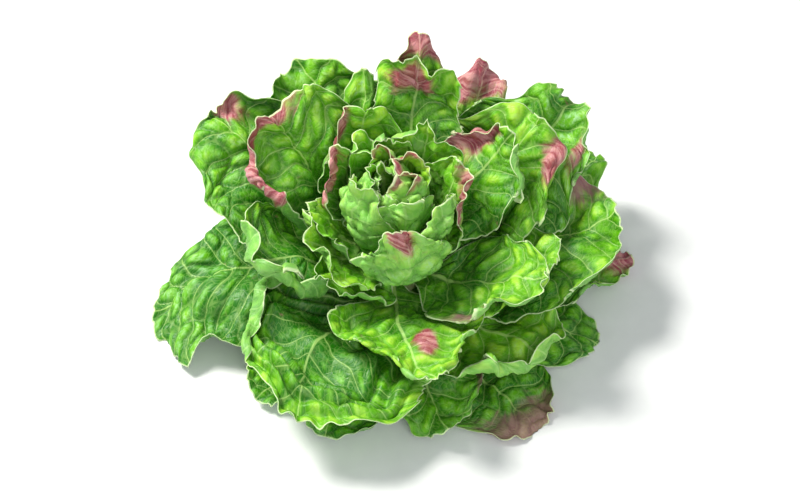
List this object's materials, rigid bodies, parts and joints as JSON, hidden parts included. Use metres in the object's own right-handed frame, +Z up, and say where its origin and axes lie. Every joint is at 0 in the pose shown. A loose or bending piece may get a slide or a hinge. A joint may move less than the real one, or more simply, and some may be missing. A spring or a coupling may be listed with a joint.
{
  "type": "batavia lettuce",
  "caption": "Cut head of batavia lettuce: loose wavy outer leaves round a crumpled heart, standing on its short cut stem.",
  "frame": {"origin": "centre of the stem's flat cut face, which the head stands on", "axes": "+Z up along the stem, +X to the right and +Y away from the viewer"},
  "size_m": [0.3455, 0.3065, 0.1549],
  "materials": {
    "stem": "moist, pale green",
    "leaf": "satin, mid green with red-brown blushes",
    "heart": "satin, pale green"
  },
  "bodies": {
    "root": {"stem": "stem", "ground_leaf_front_right": "leaf", "ground_leaf_back": "leaf", "ground_leaf_left_front": "leaf", "ground_leaf_right": "leaf", "ground_leaf_back_left": "leaf", "ground_leaf_front": "leaf", "ground_leaf_behind_right": "leaf", "ground_leaf_far_right": "leaf", "ground_leaf_left": "leaf", "ground_leaf_front_middle": "leaf", "ground_leaf_behind_left": "leaf", "ground_leaf_back_right": "leaf", "outer_leaf_back_right": "leaf", "outer_leaf_front_right": "leaf", "outer_leaf_back_left": "leaf", "outer_leaf_front_left": "leaf", "outer_leaf_right": "leaf", "outer_leaf_left": "leaf", "outer_leaf_far_right": "leaf", "outer_leaf_back": "leaf", "middle_leaf_right_low": "leaf", "middle_leaf_front": "leaf", "middle_leaf_left": "leaf", "middle_leaf_back_low": "leaf", "middle_leaf_right": "leaf", "middle_leaf_right_front": "leaf", "middle_leaf_back": "leaf", "middle_leaf_back_left": "leaf", "inner_leaf_right": "leaf", "inner_leaf_left": "leaf", "inner_leaf_back": "leaf", "inner_leaf_back_right": "leaf", "heart_leaf_left_front": "leaf", "heart_leaf_front": "leaf", "heart_leaf_left": "leaf", "heart_leaf_back_left": "leaf", "heart_leaf_right": "leaf", "heart_leaf_back": "leaf", "heart_leaf_right_front": "leaf", "heart": "heart"}
  },
  "joints": []
}
